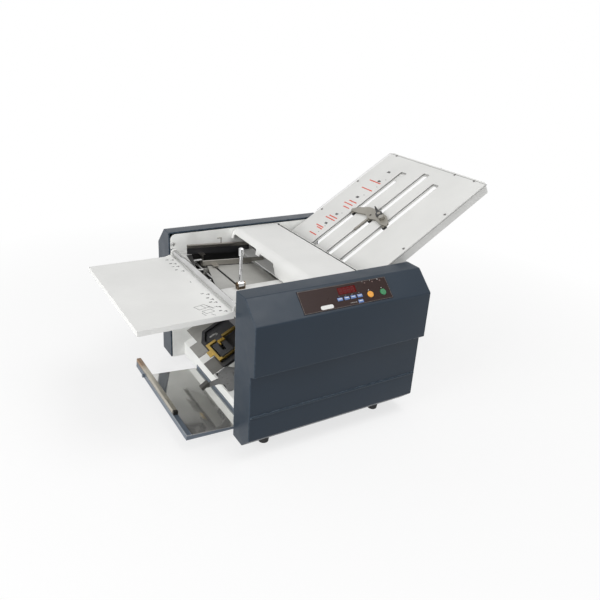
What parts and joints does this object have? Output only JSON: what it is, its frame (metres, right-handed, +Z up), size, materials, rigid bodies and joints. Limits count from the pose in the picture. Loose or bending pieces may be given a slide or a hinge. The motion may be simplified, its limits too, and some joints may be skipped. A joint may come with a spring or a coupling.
{
  "type": "paper folding machine",
  "caption": "Desktop paper folding machine: feed tray, lift table with sliding guides, geared fold rollers, two fold plates with stops and a delivery tray.",
  "frame": {"origin": "centre of the bounding box on the desk, under the four feet", "axes": "+X along the paper path from the feed tray to the first fold plate, +Y from the control side to the rear, +Z up"},
  "size_m": [0.7726, 0.487, 0.4745],
  "materials": {
    "black_paint": "satin black",
    "black_plastic": "satin black",
    "blue_key": "blue",
    "bronze": "dull bronze",
    "bush": "sintered bronze",
    "cast_grey": "blasted die casting",
    "chrome": "polished",
    "cover_grey": "satin dark blue-grey",
    "galvanised": "zinc plated",
    "gear_plastic": "natural acetal",
    "green_key": "glossy green",
    "guide_grey": "satin light grey",
    "lamp": "clear red",
    "lift_grey": "satin grey",
    "mirror_sheet": "polished stainless",
    "motor_paint": "satin black",
    "orange_key": "glossy orange",
    "panel_film": "dark brown printed film",
    "plate_steel": "satin sheet steel",
    "red_window": "deep red filter",
    "roller_steel": "blasted steel roller with a hobbed gear",
    "rubber": "matt",
    "steel": "ground steel",
    "tray_paint": "satin blue-grey",
    "tyre_rubber": "ground rubber",
    "white_paint": "smooth white powder coat",
    "zinc_yellow": "yellow zinc plate"
  },
  "bodies": {
    "base": {"front_side_frame": "white_paint", "rear_side_frame": "white_paint", "shaft_bushes": "bush", "base_plate": "galvanised", "end_panel": "white_paint", "power_inlet": "black_plastic", "switch_frame": "black_plastic", "rubber_feet": "rubber", "front_cover": "cover_grey", "rear_cover": "cover_grey", "control_panel": "panel_film", "display_window": "red_window", "indicator_lamps": "lamp", "infeed_rod": "white_paint", "infeed_table": "white_paint", "feed_bay_shield": "black_paint", "fixed_rods": "steel", "lever_bracket": "bronze", "roller_guard": "black_paint", "fold_plate_rails": "galvanised", "drive_motor": "motor_paint", "separator_block": "black_plastic", "separator_pad": "tyre_rubber", "second_fold_plate": "plate_steel", "stop_guide_bars": "zinc_yellow", "exit_chute": "white_paint", "delivery_tray": "tray_paint", "tray_liner": "mirror_sheet"},
    "feed_tray": {"feed_tray": "white_paint"},
    "feed_table": {"feed_table": "lift_grey"},
    "feed_lever": {"feed_lever": "chrome"},
    "front_guide": {"front_paper_guide": "guide_grey"},
    "rear_guide": {"rear_paper_guide": "black_paint"},
    "top_cover": {"top_cover": "white_paint"},
    "feed_shaft": {"feed_roller": "steel", "feed_tyres": "tyre_rubber"},
    "feed_idler": {"feed_idler_gear": "gear_plastic"},
    "roller_1": {"fold_roller_1": "roller_steel"},
    "roller_2": {"fold_roller_2": "roller_steel"},
    "roller_3": {"fold_roller_3": "roller_steel"},
    "roller_4": {"fold_roller_4": "roller_steel"},
    "drive_idler": {"drive_idler_gear": "gear_plastic"},
    "motor_shaft": {"motor_pinion": "steel"},
    "first_plate": {"first_fold_plate": "white_paint"},
    "first_stop": {"paper_stop": "cast_grey"},
    "lock_lever": {"stop_lock_lever": "black_plastic"},
    "stop_trim": {"stop_knob": "cast_grey"},
    "second_stop": {"second_stop": "black_paint"},
    "exit_arm": {"exit_arm": "black_paint"},
    "exit_roller": {"exit_roller": "rubber"},
    "delivery_stop": {"delivery_stop": "tray_paint", "stop_bar": "chrome"},
    "start_button": {"start_button": "green_key"},
    "stop_button": {"stop_button": "orange_key"},
    "power_switch": {"power_switch": "black_plastic"},
    "function_key_1": {"function_key_1": "blue_key"},
    "function_key_2": {"function_key_2": "blue_key"},
    "function_key_3": {"function_key_3": "blue_key"},
    "function_key_4": {"function_key_4": "blue_key"},
    "function_key_5": {"function_key_5": "blue_key"}
  },
  "joints": [
    {"name": "feed_tray_fold", "type": "hinge", "parent": "base", "child": "feed_tray", "pos_m": [-0.20368, 0.0045, 0.2856], "axis": [0, 1, 0], "range_deg": [0, 105]},
    {"name": "lever_swing", "type": "hinge", "parent": "base", "child": "feed_lever", "pos_m": [-0.15118, -0.0575, 0.2875], "axis": [1, 0, 0], "range_deg": [0, 45]},
    {"name": "table_drop", "type": "hinge", "parent": "base", "child": "feed_table", "pos_m": [-0.16897, 0.0045, 0.26694], "axis": [0, 1, 0], "range_deg": [0, 4.5]},
    {"name": "front_guide_slide", "type": "slide", "parent": "base", "child": "front_guide", "axis": [0, 1, 0], "range_m": [-0.092, 0]},
    {"name": "rear_guide_slide", "type": "slide", "parent": "base", "child": "rear_guide", "axis": [0, 1, 0], "range_m": [-0.048, 0]},
    {"name": "top_cover_open", "type": "hinge", "parent": "base", "child": "top_cover", "pos_m": [0.04782, 0.0045, 0.316], "axis": [0, 1, 0], "range_deg": [0, 75]},
    {"name": "roller_1_spin", "type": "hinge", "parent": "base", "child": "roller_1", "pos_m": [0.0407, 0.0045, 0.28838], "axis": [0, 1, 0], "continuous": true},
    {"name": "roller_2_spin", "type": "hinge", "parent": "base", "child": "roller_2", "pos_m": [0.06187, 0.0045, 0.25409], "axis": [0, 1, 0], "continuous": true},
    {"name": "roller_3_spin", "type": "hinge", "parent": "base", "child": "roller_3", "pos_m": [0.08048, 0.0045, 0.21835], "axis": [0, 1, 0], "continuous": true},
    {"name": "roller_4_spin", "type": "hinge", "parent": "base", "child": "roller_4", "pos_m": [0.06033, 0.0045, 0.18345], "axis": [0, 1, 0], "continuous": true},
    {"name": "feed_roller_spin", "type": "hinge", "parent": "base", "child": "feed_shaft", "pos_m": [-0.00618, 0.0045, 0.2915], "axis": [0, 1, 0], "continuous": true},
    {"name": "feed_idler_spin", "type": "hinge", "parent": "base", "child": "feed_idler", "pos_m": [0.01567, 0.0045, 0.26599], "axis": [0, 1, 0], "continuous": true},
    {"name": "drive_idler_spin", "type": "hinge", "parent": "base", "child": "drive_idler", "pos_m": [0.09065, 0.0045, 0.14322], "axis": [0, 1, 0], "continuous": true},
    {"name": "motor_spin", "type": "hinge", "parent": "base", "child": "motor_shaft", "pos_m": [0.12107, 0.0045, 0.11678], "axis": [0, 1, 0], "continuous": true},
    {"name": "first_plate_pull", "type": "slide", "parent": "base", "child": "first_plate", "axis": [0.8508, 0, 0.5255], "range_m": [0, 0.03]},
    {"name": "first_stop_slide", "type": "slide", "parent": "first_plate", "child": "first_stop", "axis": [0.8508, 0, 0.5255], "range_m": [-0.055, 0.125]},
    {"name": "lock_lever_turn", "type": "hinge", "parent": "first_stop", "child": "lock_lever", "pos_m": [0.21129, -0.0105, 0.37946], "axis": [-0.5255, 0, 0.8508], "range_deg": [0, 60]},
    {"name": "stop_trim_turn", "type": "hinge", "parent": "first_stop", "child": "stop_trim", "pos_m": [0.20576, -0.0285, 0.37605], "axis": [-0.5255, 0, 0.8508], "continuous": true},
    {"name": "second_stop_slide", "type": "slide", "parent": "base", "child": "second_stop", "axis": [0.887, 0, 0.4617], "range_m": [0, 0.094]},
    {"name": "exit_arm_lift", "type": "hinge", "parent": "base", "child": "exit_arm", "pos_m": [-0.16218, -0.0735, 0.096], "axis": [0, 1, 0], "range_deg": [0, 25]},
    {"name": "exit_roller_spin", "type": "hinge", "parent": "exit_arm", "child": "exit_roller", "pos_m": [-0.17518, -0.0635, 0.0652], "axis": [0, 1, 0], "continuous": true},
    {"name": "delivery_stop_slide", "type": "slide", "parent": "base", "child": "delivery_stop", "axis": [0.9962, 0, -0.0872], "range_m": [0, 0.06]},
    {"name": "start_button_press", "type": "slide", "parent": "base", "child": "start_button", "axis": [0, 0.6709, -0.7415], "range_m": [0, 0.0012], "stiffness_N_per_m": 800},
    {"name": "stop_button_press", "type": "slide", "parent": "base", "child": "stop_button", "axis": [0, 0.6709, -0.7415], "range_m": [0, 0.0012], "stiffness_N_per_m": 800},
    {"name": "function_key_1_press", "type": "slide", "parent": "base", "child": "function_key_1", "axis": [0, 0.6709, -0.7415], "range_m": [0, 0.0012], "stiffness_N_per_m": 800},
    {"name": "function_key_2_press", "type": "slide", "parent": "base", "child": "function_key_2", "axis": [0, 0.6709, -0.7415], "range_m": [0, 0.0012], "stiffness_N_per_m": 800},
    {"name": "function_key_3_press", "type": "slide", "parent": "base", "child": "function_key_3", "axis": [0, 0.6709, -0.7415], "range_m": [0, 0.0012], "stiffness_N_per_m": 800},
    {"name": "function_key_4_press", "type": "slide", "parent": "base", "child": "function_key_4", "axis": [0, 0.6709, -0.7415], "range_m": [0, 0.0012], "stiffness_N_per_m": 800},
    {"name": "function_key_5_press", "type": "slide", "parent": "base", "child": "function_key_5", "axis": [0, 0.6709, -0.7415], "range_m": [0, 0.0012], "stiffness_N_per_m": 800},
    {"name": "power_switch_rock", "type": "hinge", "parent": "base", "child": "power_switch", "pos_m": [0.16882, -0.0655, 0.072], "axis": [0, 1, 0], "range_deg": [0, 24]}
  ],
  "couplings": [
    {"joint": "roller_2_spin", "follows": "roller_1_spin", "ratio": -1},
    {"joint": "roller_3_spin", "follows": "roller_1_spin", "ratio": 1},
    {"joint": "roller_4_spin", "follows": "roller_1_spin", "ratio": -1},
    {"joint": "feed_idler_spin", "follows": "roller_1_spin", "ratio": -1.5},
    {"joint": "feed_roller_spin", "follows": "roller_1_spin", "ratio": 1},
    {"joint": "drive_idler_spin", "follows": "roller_1_spin", "ratio": 0.66667},
    {"joint": "motor_spin", "follows": "roller_1_spin", "ratio": -2},
    {"joint": "table_drop", "follows": "lever_swing", "ratio": 0.1}
  ]
}
